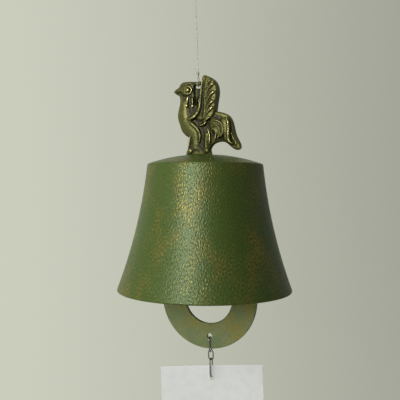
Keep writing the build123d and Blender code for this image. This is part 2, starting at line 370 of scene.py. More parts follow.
def wrinkles(shape, spacing, wavelength, seed, band=0.38):
    """Seeded white noise kept near one wavelength in each direction, scaled to a spread of one.

    A wave whose frequency is r times the wanted one is weighed by e to the minus square of (r - 1) / band.
    """
    noise = np.fft.fft2(np.random.default_rng(seed).standard_normal(shape))
    across = [np.fft.fftfreq(shape[axis], spacing[axis]) * wavelength[axis] for axis in (0, 1)]
    reach = np.hypot(across[0][:, None], across[1][None, :])
    field = np.fft.ifft2(noise * np.exp(-((reach - 1) / band) ** 2)).real
    return field / field.std()


# Materials

# Sets a second noise in other places than the first, in metres
PATCH_SHIFT = (0.013, 0.09, 0.03)


def add_node(tree, kind, inputs=None, output=0, into=None, **settings):
    """Add a node with its settings and inputs, and link one of its outputs into a socket if one is given.

    Gives that output, or nothing for a node that ends its tree.
    """
    node = tree.nodes.new(kind)
    for name, value in settings.items():
        setattr(node, name, value)
    for name, value in (inputs or {}).items():
        if isinstance(value, bpy.types.NodeSocket):
            tree.links.new(value, node.inputs[name])
        else:
            node.inputs[name].default_value = value
    result = node.outputs[output] if node.outputs else None
    if into is not None:
        tree.links.new(result, into)
    return result


def start_material(name, plain=None):
    """A material, its tree, its shader's inputs with plain values set, and the piece's place in metres."""
    material = bpy.data.materials.new(name)
    material.use_nodes = True
    tree = material.node_tree
    tree.nodes.clear()
    surface = add_node(tree, "ShaderNodeBsdfPrincipled", plain)
    add_node(tree, "ShaderNodeOutputMaterial", {"Surface": surface})
    place = add_node(tree, "ShaderNodeTexCoord", output="Object")
    return material, tree, surface.node.inputs, place


def rgba(colour, share=1.0):
    """A colour property as a node colour, darkened to a share of its light."""
    return (*(channel * share for channel in colour), 1.0)


def mottle(tree, place, millimetres, detail, stretch=(1, 1, 1), shift=(0, 0, 0)):
    """Clouds from 0 to 1 with features of a real size, longer along an axis whose stretch is small."""
    drawn = add_node(tree, "ShaderNodeMapping", {"Vector": place, "Scale": stretch, "Location": shift})
    features = {"Vector": drawn, "Scale": 1 / (millimetres * MM), "Detail": detail, "Roughness": 0.55}
    return add_node(tree, "ShaderNodeTexNoise", features)


def coat(tree, under, over, pattern, low, high):
    """One finish over another, by the pattern's smooth step from low to high: the colour, and the share."""
    step = {"Value": pattern, "From Min": low, "From Max": high}
    share = add_node(tree, "ShaderNodeMapRange", step, interpolation_type="SMOOTHSTEP")
    return add_node(tree, "ShaderNodeMix", {0: share, 6: under, 7: over}, 2, data_type="RGBA"), share


def lay(tree, shader, colour, ranges, relief=None):
    """Lay a finish on a shader: colour, ranges that follow a share, and relief of a depth in millimetres."""
    tree.links.new(colour, shader["Base Color"])
    for socket, (share, low, high) in ranges.items():
        span = {"Value": share, "To Min": low, "To Max": high}
        add_node(tree, "ShaderNodeMapRange", span, into=shader[socket])
    if relief:
        depths = {"Height": relief[0], "Distance": relief[1] * MM, "Strength": 1.0}
        add_node(tree, "ShaderNodeBump", depths, into=shader["Normal"])


def patinated_bronze(finish):
    """Cast bronze under a waxed green patina: green clouds, dark pits and olive gold on rubbed tops."""
    material, tree, shader, place = start_material("patinated_cast_bronze")
    grain = add_node(tree, "ShaderNodeAttribute", output="Fac", attribute_name="grain")
    clouds = mottle(tree, place, 22.0, 2.0)
    patches = mottle(tree, place, 12.0, 3.0, (1.0, 1.0, 0.6), PATCH_SHIFT)
    # The sand's grit is finer, and is drawn as coarse as it needs to show
    speck = mottle(tree, place, 0.6, 2.0, (1.0, 1.0, 0.55))
    texture = add_node(tree, "ShaderNodeMath", {0: speck, 1: 6.0, 2: grain}, operation="MULTIPLY_ADD")
    tops = add_node(tree, "ShaderNodeMath", {0: patches, 1: 7.0, 2: texture}, operation="MULTIPLY_ADD")
    green, _ = coat(tree, rgba(finish.patina_green), rgba(finish.patina_blue), clouds, 0.42, 0.62)
    olive, _ = coat(tree, green, rgba(finish.patina_olive), patches, 0.44, 0.68)
    dark, pits = coat(tree, olive, rgba(finish.patina_dark), texture, 3.2, -0.4)
    colour, rub = coat(tree, dark, rgba(finish.rubbed_gold), tops, 6.8, 10.2)
    ranges = {"Metallic": (rub, 0.22, 0.7), "Roughness": (pits, 0.35, 0.5)}
    lay(tree, shader, colour, ranges, relief=(speck, 0.14))
    return material


def rubbed_and_shaded_bronze(finish):
    """Cast bronze under old brown lacquer: olive on its faces, gold on narrow ridges, and brown with painted shade
    in its creases, hollows and side faces.
    """
    material, tree, shader, place = start_material("rubbed_and_shaded_cast_bronze")
    ridge = add_node(tree, "ShaderNodeAttribute", output="Fac", attribute_name="ridge")
    swell = add_node(tree, "ShaderNodeAttribute", output="Fac", attribute_name="swell")
    clouds = mottle(tree, place, 3.5, 3.0)
    worn = add_node(tree, "ShaderNodeMath", {0: clouds, 1: 0.9, 2: ridge}, operation="MULTIPLY_ADD")
    # Painted shade: where the small and the broad relief sink, and in the hollows and on the side faces that the
    # swell carries, the faces turn from olive to brown
    raised = add_node(tree, "ShaderNodeMath", {0: swell, 1: 1.5, 2: worn}, operation="MULTIPLY_ADD")
    face, _ = coat(tree, rgba(finish.bird_olive), rgba(finish.bird_brown_and_shade), raised, 0.45, -0.8)
    colour, rub = coat(tree, face, rgba(finish.bird_gold), worn, 1.15, 1.95)
    coarse, fine = mottle(tree, place, 1.6, 2.0), mottle(tree, place, 0.5, 2.0)
    cast = add_node(tree, "ShaderNodeMath", {0: fine, 1: 0.25, 2: coarse}, operation="MULTIPLY_ADD")
    ranges = {"Metallic": (rub, 0.75, 0.95), "Roughness": (rub, 0.38, 0.2)}
    lay(tree, shader, colour, ranges, relief=(cast, 0.22))
    return material


def toned_bronze(finish):
    """Sheet bronze, sawn and toned olive: clouds of green and gold, dark flecks and faint scratches."""
    material, tree, shader, place = start_material("toned_sheet_bronze", {"Metallic": 0.55})
    clouds = mottle(tree, place, 9.0, 3.0)
    patches = mottle(tree, place, 8.0, 5.0, shift=PATCH_SHIFT)
    flecks = mottle(tree, place, 0.9, 2.0)
    # Real scratches are a few hundredths of a millimetre wide, and are drawn as coarse as they need to show
    scratches = mottle(tree, place, 0.35, 2.0, (0.12, 1.0, 1.0))
    green, _ = coat(tree, rgba(finish.ring_olive), rgba(finish.ring_green), clouds, 0.4, 0.62)
    worn, _ = coat(tree, green, rgba(finish.ring_gold), patches, 0.42, 0.62)
    colour, _ = coat(tree, worn, rgba(finish.ring_green, 0.78), flecks, 0.52, 0.7)
    lay(tree, shader, colour, {"Roughness": (scratches, 0.36, 0.5)}, relief=(scratches, 0.02))
    return material


def nickel_wire(finish):
    """Nickel-plated wire, drawn and bent: bright, with a little haze in patches."""
    material, tree, shader, place = start_material("nickel_plated_wire", {"Metallic": 1.0})
    haze = mottle(tree, place, 1.2, 2.0)
    shades = {0: haze, 6: rgba(finish.nickel), 7: rgba(finish.nickel, 0.72)}
    colour = add_node(tree, "ShaderNodeMix", shades, 2, data_type="RGBA")
    lay(tree, shader, colour, {"Roughness": (haze, 0.1, 0.26)})
    return material


def zinc_steel(finish):
    """Zinc-plated steel fittings, dulled to a soft grey with darker spots."""
    material, tree, shader, place = start_material("zinc_plated_steel", {"Metallic": 1.0})
    dulled = mottle(tree, place, 1.6, 3.0)
    colour, spots = coat(tree, rgba(finish.steel), rgba(finish.steel, 0.6), dulled, 0.45, 0.7)
    lay(tree, shader, colour, {"Roughness": (spots, 0.28, 0.45)})
    return material


def clear_nylon(finish):
    """Nylon monofilament, extruded: half clear and half milky, glossy, with a slight haze along it."""
    plain = {"Base Color": rgba(finish.nylon), "IOR": 1.53, "Transmission Weight": 0.5}
    material, tree, shader, place = start_material("clear_nylon_line", plain)
    haze = mottle(tree, place, 2.0, 2.0)
    span = {"Value": haze, "To Min": 0.15, "To Max": 0.3}
    add_node(tree, "ShaderNodeMapRange", span, into=shader["Roughness"])
    return material


def plain_paper(finish):
    """Uncoated paper: matt white with pulp clouds and short fibres that show as faint tooth."""
    plain = {"Roughness": 0.85, "Specular IOR Level": 0.3}
    material, tree, shader, place = start_material("uncoated_paper", plain)
    pulp = mottle(tree, place, 4.0, 3.0)
    # Real fibres are a few hundredths of a millimetre wide, and are drawn as coarse as they need to show
    fibres = mottle(tree, place, 0.5, 3.0, (1.0, 1.0, 0.35))
    colour, _ = coat(tree, rgba(finish.paper), rgba(finish.paper, 0.94), pulp, 0.35, 0.75)
    lay(tree, shader, colour, {}, relief=(fibres, 0.01))
    return material


def plain_stage(finish):
    """Matt floor of the backdrop's colour, with a little of it shown to the camera at an even level."""
    pale = rgba(finish.backdrop)
    plain = {"Base Color": pale, "Emission Color": pale, "Roughness": 0.9}
    material, tree, shader, _ = start_material("studio_floor", plain)
    seen = add_node(tree, "ShaderNodeLightPath", output="Is Camera Ray")
    glow = {"Value": seen, "To Min": 0.0, "To Max": 0.25}
    add_node(tree, "ShaderNodeMapRange", glow, into=shader["Emission Strength"])
    return material


# Operators

class WINDBELL_OT_bell(Operator):
    """Turn the bell's wall about its tilted axis, with the wrinkled skin of the casting raised on it"""
    bl_idname = "wind_bell.bell"
    bl_label = "Cast Bell"

    def execute(self, context):
        settings = context.scene.wind_bell
        bell = settings.bell
        right, up, origin = bell_frame(bell, settings.bird)
        section, share = bell_profile(bell)
        slope = np.roll(section, -1, 0) - np.roll(section, 1, 0)
        outward = unit(np.stack([slope[:, 1], -slope[:, 0]], -1))
        angle = np.linspace(0, 2 * np.pi, bell.columns, endpoint=False)
        spacing = (bell.height / bell.rows, np.pi * (bell.rim_radius + bell.shoulder_radius) / bell.columns)
        field = wrinkles((len(section), bell.columns), spacing, (bell.grain_length, bell.grain_width), seed=5)
        lift = bell.grain_height * share[:, None] * np.tanh(field)
        radius = section[:, :1] + outward[:, :1] * lift
        height = section[:, 1:] + outward[:, 1:] * lift
        spoke = np.cos(angle)[:, None] * right + np.sin(angle)[:, None] * np.array([0, 1, 0])
        rings = origin + radius[..., None] * spoke + height[..., None] * up
        piece = mesh_object("cast_bell", *skin(rings, wrap=True), patinated_bronze(settings.finish))
        set_attribute(piece, "grain", (field * (share > 0)[:, None]).ravel())
        stands_for(piece, "bell_body")
        return {"FINISHED"}


# Bird, in millimetres along it from the bell's axis and up from the seat; outlines run clockwise
BIRD_BODY = [
    (-8.7, 0.0), (-8.5, 3.2), (-7.8, 6.8), (-8.4, 9.6), (-11.2, 12.6), (-13.1, 15.8), (-13.7, 18.8),
    (-13.3, 21.4), (-12.7, 24.0), (-12.5, 26.4), (-13.1, 28.6), (-13.3, 31.2), (-12.7, 33.2), (-11.2, 34.3),
    (-8.0, 34.4), (-5.5, 34.0), (-5.1, 31.6), (-4.9, 28.6), (-4.8, 26.2), (-4.2, 24.0), (-2.6, 22.8),
    (0.0, 22.6), (5.5, 20.4), (9.4, 19.4), (12.0, 17.9), (13.6, 15.4), (14.5, 12.0), (15.4, 8.8), (17.2, 5.4),
    (17.6, 3.5), (16.8, 2.4), (14.8, 2.5), (12.4, 4.2), (10.4, 5.8), (7.6, 6.2), (4.6, 5.2), (2.8, 2.8),
    (2.6, 0.0),
]
BIRD_WING = [
    (-4.2, 17.4), (-3.4, 20.0), (-2.4, 23.2), (-2.1, 27.5), (-1.5, 33.0), (-0.9, 36.9), (1.4, 36.7),
    (4.2, 35.0), (5.9, 32.4), (6.4, 28.8), (5.8, 24.6), (5.2, 20.4), (3.8, 17.6), (1.4, 16.6), (-1.6, 16.4),
]
# Raised part of the wing that carries the feathers
BIRD_FEATHERS = [
    (0.2, 16.8), (0.5, 22.0), (0.7, 27.0), (1.0, 32.0), (1.3, 36.2), (4.2, 35.0), (5.9, 32.4), (6.4, 28.8),
    (5.8, 24.6), (5.2, 20.4), (3.9, 17.4), (2.0, 16.3),
]
# Thin web that half closes the gap between neck and wing, below the cord bar; it lies under the flanks' level and
# takes the painted shade of the hollows
BIRD_WEB = [
    (-6.4, 22.0), (-6.4, 31.2), (-4.2, 31.3), (-1.2, 31.0), (-1.3, 27.6), (-2.8, 27.2), (-3.6, 26.2),
    (-3.6, 24.9), (-2.8, 23.9), (-1.8, 23.4), (-1.8, 22.4),
]
# Rounding of the edges of the body and the wing, and half thickness and rounding of the web
BODY_EDGE, WING_EDGE, WEB_HALF, WEB_EDGE = 0.9, 0.45, 0.8, 0.4
# Share of the wing's thickness in front of its feathers, and half length of the cord bar
WING_FRONT, BAR_HALF = 0.8, 3.6
# Full forms on the middle plane: path, half width at each point, half thickness at each point
BIRD_FORMS = [
    ([(-9.6, 27.5), (-10.1, 22.0), (-9.8, 18.0), (-7.8, 14.4), (-4.9, 10.6), (-4.4, 6.5), (-5.0, 1.2)],
     (2.2, 2.6, 3.6, 4.9, 4.3, 3.3, 3.6), (2.0, 2.1, 2.2, 2.4, 2.3, 2.0, 2.1)),
    ([(-12.4, 30.4), (-10.2, 30.6), (-8.2, 30.6), (-6.6, 30.6)], (2.2, 3.4, 3.4, 2.4), (1.8, 2.5, 2.7, 2.2)),
    ([(2.6, 17.0), (5.2, 14.6), (7.4, 11.0), (6.6, 7.6)], (2.6, 3.8, 3.8, 2.0), (1.8, 2.7, 3.0, 2.4)),
    ([(8.0, 16.6), (10.2, 14.4), (10.7, 10.6), (11.4, 7.4), (13.4, 5.2)], (2.8, 2.5, 2.2, 1.9, 1.2),
     (2.3, 2.7, 2.8, 2.7, 2.4)),
    ([(1.4, 11.0), (1.5, 6.0), (1.2, 1.0)], (1.7, 1.4, 1.8), (2.5, 2.4, 2.7)),
]
# Upper and lower bill: path, and half width at its root
BIRD_BEAK = [
    ([(-11.4, 30.9), (-13.4, 30.8), (-15.2, 30.5), (-16.6, 30.0)], 1.95),
    ([(-11.4, 29.3), (-13.4, 29.1), (-15.6, 29.6)], 1.55),
]
# Comb along the crest: path, half width and half thickness
BIRD_COMB = ([(-12.4, 33.4), (-10.8, 33.9), (-8.0, 34.0), (-5.2, 33.9)], 0.75, 1.7)
# Ridges on both flanks: path, half width, height, level of the flank, and how wide the ridge starts
BIRD_RIDGES = [
    ([(-0.7, 36.3), (-1.0, 32.1), (-1.6, 26.7), (-1.9, 22.9), (-2.8, 20.2), (-4.5, 18.1), (-6.5, 17.1),
      (-8.0, 16.9)], 1.2, 1.5, 2.1, 0.5),
    ([(1.3, 35.6), (0.9, 31.2), (0.7, 26.6), (0.5, 21.2), (-0.4, 15.6)], 0.4, 0.8, 2.3, 1.0),
    ([(1.6, 31.0), (2.3, 33.2), (3.6, 34.5)], 0.7, 0.85, 2.75, 0.4),
    ([(1.0, 26.4), (1.9, 29.6), (3.4, 31.8), (5.2, 32.8)], 0.85, 0.95, 2.75, 0.4),
    ([(0.8, 22.4), (2.1, 25.6), (3.7, 27.9), (5.6, 29.2)], 0.88, 0.95, 2.75, 0.4),
    ([(0.7, 19.4), (1.9, 21.8), (3.3, 23.7), (5.0, 25.0)], 0.86, 0.95, 2.75, 0.4),
    ([(0.4, 17.2), (1.7, 19.2), (3.1, 20.9), (4.7, 22.1)], 0.82, 0.95, 2.75, 0.4),
    ([(-0.2, 15.2), (0.9, 16.0), (1.9, 16.7), (3.3, 17.8)], 0.66, 1.4, 2.1, 0.6),
    ([(-2.4, 14.2), (-1.0, 13.9), (0.3, 14.4), (1.6, 15.6)], 0.6, 1.5, 1.9, 0.7),
    ([(-7.8, 16.2), (-5.8, 14.7), (-3.6, 12.6), (-2.2, 10.4), (-1.9, 8.2), (-2.3, 5.8)],
     0.65, 0.75, 1.95, 1.4),
    ([(-7.2, 9.4), (-7.2, 6.4), (-7.7, 3.4)], 0.6, 0.6, 1.8, 0.7),
    ([(1.2, 9.4), (1.2, 5.4), (1.5, 2.6)], 0.5, 0.6, 2.2, 0.6),
    ([(2.0, 12.6), (3.0, 9.0), (2.9, 5.0)], 0.5, 0.7, 2.3, 0.8),
    ([(4.0, 14.2), (6.3, 15.7), (8.8, 14.0), (9.5, 10.8), (8.3, 8.0)], 0.6, 0.5, 2.7, 0.6),
    ([(4.3, 12.9), (6.1, 13.7), (7.7, 12.2), (7.9, 9.6), (6.9, 7.2)], 0.55, 0.45, 2.95, 0.6),
    ([(3.8, 11.6), (5.0, 12.0), (6.1, 10.8), (6.1, 8.4), (5.0, 6.0)], 0.55, 0.45, 2.85, 0.6),
    ([(11.0, 17.0), (12.2, 14.6), (12.4, 11.4), (12.4, 8.5), (12.9, 6.2), (14.4, 4.9)], 0.8, 1.7, 2.45, 0.8),
    ([(13.2, 11.4), (13.7, 9.4), (14.2, 7.8), (15.4, 5.9), (15.8, 4.2)], 0.42, 0.35, 2.0, 0.5),
    ([(-7.7, 27.7), (-8.2, 25.6), (-8.5, 23.4)], 0.6, 0.65, 2.5, 0.6),
    ([(-5.9, 27.0), (-5.7, 25.0), (-5.6, 23.0)], 0.55, 0.7, 2.1, 0.6),
    ([(-13.2, 30.2), (-11.4, 30.5), (-10.2, 29.4), (-9.2, 28.0)], 0.35, 0.5, 2.1, 0.8),
    ([(-12.0, 32.6), (-9.6, 33.4), (-6.2, 33.4)], 0.4, 0.5, 1.8, 0.8),
]
# Round bosses on both flanks: centre, radius and level
BIRD_BOSSES = [
    ((-8.5, 23.2), 0.8, 2.9), ((-5.6, 22.9), 0.75, 2.5), ((-8.0, 30.4), 0.95, 2.6), ((-6.6, 2.2), 1.2, 1.7),
    ((1.5, 2.2), 1.1, 1.7),
]
# Rim round each eye: centre, two radii, half width and height of the rim, and level
EYE_CENTRE, EYE_RADII, EYE_RIM, EYE_LEVEL = (-8.0, 30.4), (1.85, 1.75), (0.38, 0.42), 2.5
# Rounds of relaxing that soften the body, and then the carving with it
BODY_ROUNDS, CARVING_ROUNDS = 14, 3
# Relief for the finish: name, rounds of relaxing, rise that counts as one, share of the hollows' painted shade
# taken off
BIRD_RELIEF = (("ridge", 50, 0.28, 0.0), ("swell", 220, 0.6, 1.0))
# Painted shade of hollows and side faces: its depth, the level that sunk faces lie under, and the fall to full
# shade
HOLLOW_SHADE, HOLLOW_LEVEL, HOLLOW_FALL = 1.4, 2.1, 0.9
# Direction through the bird, from flank to flank
THROUGH = (0.0, 1.0, 0.0)


def flat(points, level):
    """Points of the bird's plane, set at a level through it."""
    return np.insert(np.asarray(points, float), 1, level, axis=1)


def rounded_plate(outline, half, edge):
    """An outline with rounded edges: it draws in by edge times one less a cosine as it goes through."""
    path = smooth_path(outline, 8 * len(outline), closed=True)
    path[:, 1] = np.maximum(path[:, 1], 0)
    slope = unit(np.roll(path, -1, 0) - np.roll(path, 1, 0))
    inward = np.stack([slope[:, 1], -slope[:, 0]], -1)
    bend = np.radians(np.concatenate([np.linspace(-90, 0, 6), np.linspace(0, 90, 6)]))
    level = np.sign(np.linspace(-1, 1, 12)) * (half - edge) + edge * np.sin(bend)
    draw = edge * (1 - np.cos(bend))
    return skin(np.stack([flat(path + inward * d, y) for d, y in zip(draw, level)]))


def full_form(path, widths, heights):
    """A loaf along a path: ellipses whose half width and thickness follow smooth curves, with round ends."""
    route = smooth_path(np.column_stack([path, widths, heights]), 48)
    ends = spindle(48, 12)
    return skin(tube(flat(route[:, :2], 0), route[:, 2] * ends, route[:, 3] * ends, THROUGH, 32))


def bird_base(bird):
    """Shells of the bird without its carving: four plates, full forms, beak, comb and cord bar."""
    half, wing_half, bar = bird.body_half / MM, bird.wing_half / MM, bird.bar_radius / MM
    shells = [
        rounded_plate(BIRD_BODY, half, BODY_EDGE),
        rounded_plate(BIRD_WING, WING_FRONT * wing_half, WING_EDGE),
        rounded_plate(BIRD_FEATHERS, wing_half, WING_EDGE),
        rounded_plate(BIRD_WEB, WEB_HALF, WEB_EDGE),
    ]
    shells += [full_form(*form) for form in BIRD_FORMS]
    for bill, root in BIRD_BEAK:
        wide, high = np.linspace(root, 0.2, 20), np.linspace(1.2 * root, 0.25, 20)
        shells.append(skin(tube(smooth_path(flat(bill, 0), 20), wide, high, THROUGH)))
    path, wide, high = BIRD_COMB
    shells.append(skin(tube(smooth_path(flat(path, 0), 20), wide * spindle(20), high * spindle(20), THROUGH)))
    middle = np.array([bird.eye_x, bird.eye_rise]) / MM
    bar_line = flat(np.linspace(middle - [BAR_HALF, 0], middle + [BAR_HALF, 0], 12), 0)
    shells.append(skin(tube(bar_line, bar, bar, THROUGH, 24)))
    return joined(shells)


def bird_carving():
    """Shells of the carving on both flanks: ridges and feathers, bosses and the rims round the eyes."""
    shells = []
    swell = spindle(40)
    place = np.linspace(-0.995, 0.995, 16)
    dome = np.sqrt(1 - place ** 2)
    around = np.linspace(0, 2 * np.pi, 48, endpoint=False)
    rim = np.array(EYE_CENTRE) + np.array(EYE_RADII) * np.stack([np.cos(around), np.sin(around)], -1)
    for face in (-1, 1):
        for path, wide, high, level, start in BIRD_RIDGES:
            line = smooth_path(flat(path, face * level), 40)
            grow = swell * np.linspace(start, 1, 40)
            shells.append(skin(tube(line, wide * grow, high * grow, THROUGH)))
        for centre, radius, level in BIRD_BOSSES:
            line = flat(np.stack([np.full(16, centre[0]), centre[1] + radius * place], -1), face * level)
            shells.append(skin(tube(line, radius * dome, 0.75 * radius * dome, THROUGH, 20)))
        shells.append(skin(tube(flat(rim, face * EYE_LEVEL), *EYE_RIM, THROUGH, wrap=True), wrap=True))
    return joined(shells)


def relaxed(points, edges, rounds, share):
    """Each point moved a share of the way to the mean of its neighbours, for some rounds."""
    count = np.bincount(edges.ravel(), minlength=len(points))[:, None]
    for _ in range(rounds):
        near = np.zeros_like(points)
        np.add.at(near, edges[:, 0], points[edges[:, 1]])
        np.add.at(near, edges[:, 1], points[edges[:, 0]])
        points = points + share * (near / count - points)
    return points


def fused(points, faces, voxel, rounds):
    """One closed skin round overlapping shells, by a voxel remesh whose points are then relaxed."""
    mesh = bpy.data.meshes.new("shells")
    mesh.from_pydata(points.tolist(), [], faces)
    rough = bpy.data.objects.new("shells", mesh)
    bpy.context.scene.collection.objects.link(rough)
    remesh = rough.modifiers.new("Join", "REMESH")
    remesh.mode = "VOXEL"
    remesh.voxel_size = voxel
    skin_mesh = bpy.data.meshes.new_from_object(rough.evaluated_get(bpy.context.evaluated_depsgraph_get()))
    cells = np.zeros(3 * len(skin_mesh.vertices), np.float32)
    skin_mesh.vertices.foreach_get("co", cells)
    edges = np.zeros(2 * len(skin_mesh.edges), np.int32)
    skin_mesh.edges.foreach_get("vertices", edges)
    corners = np.zeros(len(skin_mesh.loops), np.int32)
    skin_mesh.loops.foreach_get("vertex_index", corners)
    bpy.data.objects.remove(rough)
    bpy.data.meshes.remove(mesh)
    bpy.data.meshes.remove(skin_mesh)
    edges = edges.reshape(-1, 2)
    points = relaxed(cells.reshape(-1, 3).astype(float), edges, rounds, 0.6)
    return points, corners.reshape(-1, 4).tolist(), edges


class WINDBELL_OT_bird(Operator):
    """Join the bird's plates and forms into one cast surface, carve it, and mark its ridges, and its recesses and
    side faces for painted shade
    """
    bl_idname = "wind_bell.bird"
    bl_label = "Bird Finial"

    def execute(self, context):
        settings = context.scene.wind_bell
        bird = settings.bird
        right, up, origin = bell_frame(settings.bell, bird)
        seat = origin + up * seat_height(settings.bell)
        axes = np.stack([right, [0, 1, 0], up])

        def placed(shells):
            """Shells in millimetres, set on the seat."""
            return seat + MM * shells[0] @ axes, shells[1]

        body, body_faces, _ = fused(*placed(bird_base(bird)), bird.voxel, BODY_ROUNDS)
        carved = joined([(body, body_faces), placed(bird_carving())])
        points, faces, edges = fused(*carved, bird.voxel, CARVING_ROUNDS)
        piece = mesh_object("bird_figure", points, faces, rubbed_and_shaded_bronze(settings.finish))
        normals = np.zeros(3 * len(points), np.float32)
        piece.data.vertices.foreach_get("normal", normals)
        normals = normals.reshape(-1, 3)
        # Painted shade: faces sunk under the flanks' level and side faces turned away from the flanks count as
        # hollows, which darken the finish
        flank = np.abs(normals[:, 1])
        sunk = np.clip((HOLLOW_LEVEL - np.abs(points[:, 1]) / MM) / HOLLOW_FALL, 0, 1)
        hollow = HOLLOW_SHADE * flank * sunk + (1 - flank) ** 2
        for name, rounds, step, depth in BIRD_RELIEF:
            rise = np.sum((points - relaxed(points, edges, rounds, 0.7)) * normals, axis=1)
            set_attribute(piece, name, np.clip(rise / (step * MM) - depth * hollow, -2, 2))
        stands_for(piece, "bird_finial")
        return {"FINISHED"}


def finish_node(node, material):
    """Give a solid that is shown as it is a finished material."""
    mesh = frame["nodes"][node].data
    mesh.materials.clear()
    mesh.materials.append(material)


class WINDBELL_OT_ring(Operator):
    """Finish the clapper ring in toned sheet bronze"""
    bl_idname = "wind_bell.ring"
    bl_label = "Clapper Ring"

    def execute(self, context):
        finish_node("clapper_ring", toned_bronze(context.scene.wind_bell.finish))
        return {"FINISHED"}


class WINDBELL_OT_fittings(Operator):
    """Cut the eye bolt's thread, turn down the nut's corners and finish the washer, inside the crown"""
    bl_idname = "wind_bell.fittings"
    bl_label = "Crown Fittings"

    def execute(self, context):
        settings = context.scene.wind_bell
        sizes = settings.links
        right, up, origin = bell_frame(settings.bell, settings.bird)
        axes = np.stack([right, [0, 1, 0], up])
        steel = zinc_steel(settings.finish)

        def placed(angle, radius, height):
            """Rings about the bell's axis, of a radius and a height at each angle."""
            height = np.broadcast_to(height, radius.shape)
            return origin + np.stack([radius * np.cos(angle), radius * np.sin(angle), height], -1) @ axes

        def along_axis(node):
            """Lowest and highest reach of a solid along the bell's axis."""
            mesh = frame["nodes"][node].data
            points = np.zeros(3 * len(mesh.vertices), np.float32)
            mesh.vertices.foreach_get("co", points)
            reach = (points.reshape(-1, 3) - origin) @ up
            return reach.min(), reach.max()

        low, high = along_axis("eye_bolt")
        eye_centre = low + sizes.bolt_eye_radius + sizes.bolt_eye_wire
        start = eye_centre + sizes.bolt_eye_radius
        angle = np.linspace(0, 2 * np.pi, 48, endpoint=False)
        height = np.linspace(start, high, 240)[:, None]
        pitches = (height - start) / sizes.thread_pitch
        groove = sizes.thread_depth * np.abs(2 * ((pitches - angle / (2 * np.pi)) % 1) - 1)
        # The thread starts two pitches above the eye and reaches its depth over one more
        shank = placed(angle, sizes.bolt_radius - groove * np.clip(pitches - 2, 0, 1), height)
        circle = sizes.bolt_eye_radius * np.stack([0 * angle, np.cos(angle), np.sin(angle)], -1)
        ring = origin + (circle + [0, 0, eye_centre]) @ axes
        eye = tube(ring, sizes.bolt_eye_wire, sizes.bolt_eye_wire, right, 20, wrap=True)
        bolt = mesh_object("threaded_eye_bolt", *joined([skin(shank), skin(eye, wrap=True)]), steel)
        stands_for(bolt, "eye_bolt")

        low, high = along_axis("crown_nut")
        angle = np.linspace(0, 2 * np.pi, 192, endpoint=False)
        half_flats = sizes.nut_flats / 2
        flats = half_flats / np.cos((angle + np.pi / 6) % (np.pi / 3) - np.pi / 6)
        corner, face = half_flats / np.cos(np.pi / 6), 0.94 * half_flats
        turned = np.linspace(0, sizes.nut_chamfer, 6)
        level = np.concatenate([[low], low + turned, high - turned[::-1], [high]])
        edge = np.minimum(level - low, high - level) / sizes.nut_chamfer
        cone = corner - (corner - face) * np.clip(1 - edge, 0, 1)
        radius = np.minimum(flats, cone[:, None])
        radius[[0, -1]] = sizes.bolt_radius
        nut = mesh_object("chamfered_nut", *skin(placed(angle, radius, level[:, None]), wrap=True), steel)
        sharpen(nut, 30)
        stands_for(nut, "crown_nut")
        finish_node("crown_washer", steel)
        return {"FINISHED"}


class WINDBELL_OT_links(Operator):
    """Bend each wire link to an oval whose two ends meet in a butt joint on one side"""
    bl_idname = "wind_bell.links"
    bl_label = "Wire Links"

    def execute(self, context):
        settings = context.scene.wind_bell
        wire = nickel_wire(settings.finish)
        nodes = [node for node in frame["nodes"] if SLOT_OF[node] == "nickel_wire"]
        for node in sorted(nodes):
            low, high = (np.array(corner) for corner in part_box(node))
            extent = high - low
            facing = int(np.argmin(extent[:2]))
            thick, width, length = extent[facing], extent[1 - facing], extent[2]
            bend = (width - thick) / 2
            run = (length - thick) / 2 - bend
            half_gap = settings.links.butt_gap / 2
            sweep = np.linspace(0, np.pi, 40)
            rise = np.linspace(half_gap, run, 12)[:-1]
            fall = np.linspace(run, -run, 24)[1:-1]
            dome = np.stack([bend * np.cos(sweep), run + bend * np.sin(sweep)], -1)
            quarter = np.vstack([np.stack([np.full_like(rise, bend), rise], -1), dome])
            back = np.stack([np.full_like(fall, -bend), fall], -1)
            oval = np.vstack([quarter, back, (quarter * [1, -1])[::-1]])
            path = np.zeros((len(oval), 3))
            path[:, 1 - facing], path[:, 2] = oval[:, 0], oval[:, 1]
            across = np.eye(3)[facing]
            wide = np.full(len(path), thick / 2)
            # Each cut end narrows a little
            wide[[0, -1]] *= 0.8
            rings = tube(path + (low + high) / 2, wide, wide, across, 18)
            piece = mesh_object(f"{node}_wire", *skin(rings), wire)
            stands_for(piece, node)
        return {"FINISHED"}


def loop_route(radius, knot_distance, strand_x, lead):
    """Control points of a cord pulled tight round a bar, as (aside, towards the knot).

    Both strands run straight from the knot to the bar, with a point a lead before they touch it.
    Between them the points are corners of a polygon round the bar's circle.
    """
    reach = np.hypot(strand_x, knot_distance)
    touch = np.arctan2(knot_distance, strand_x) - np.arccos(radius / reach)
    start = np.array([strand_x, knot_distance])
    touch_point = radius * np.array([np.cos(touch), np.sin(touch)])
    before = touch_point + lead * unit(start - touch_point)
    half_step = (np.pi / 2 + touch) / 5
    corner = touch - half_step * np.array([1, 3, 5])
    round_bar = radius / np.cos(half_step) * np.stack([np.cos(corner), np.sin(corner)], -1)
    one_side = np.vstack([start, before, round_bar])
    return np.vstack([one_side, (one_side * [-1, 1])[-2::-1]])


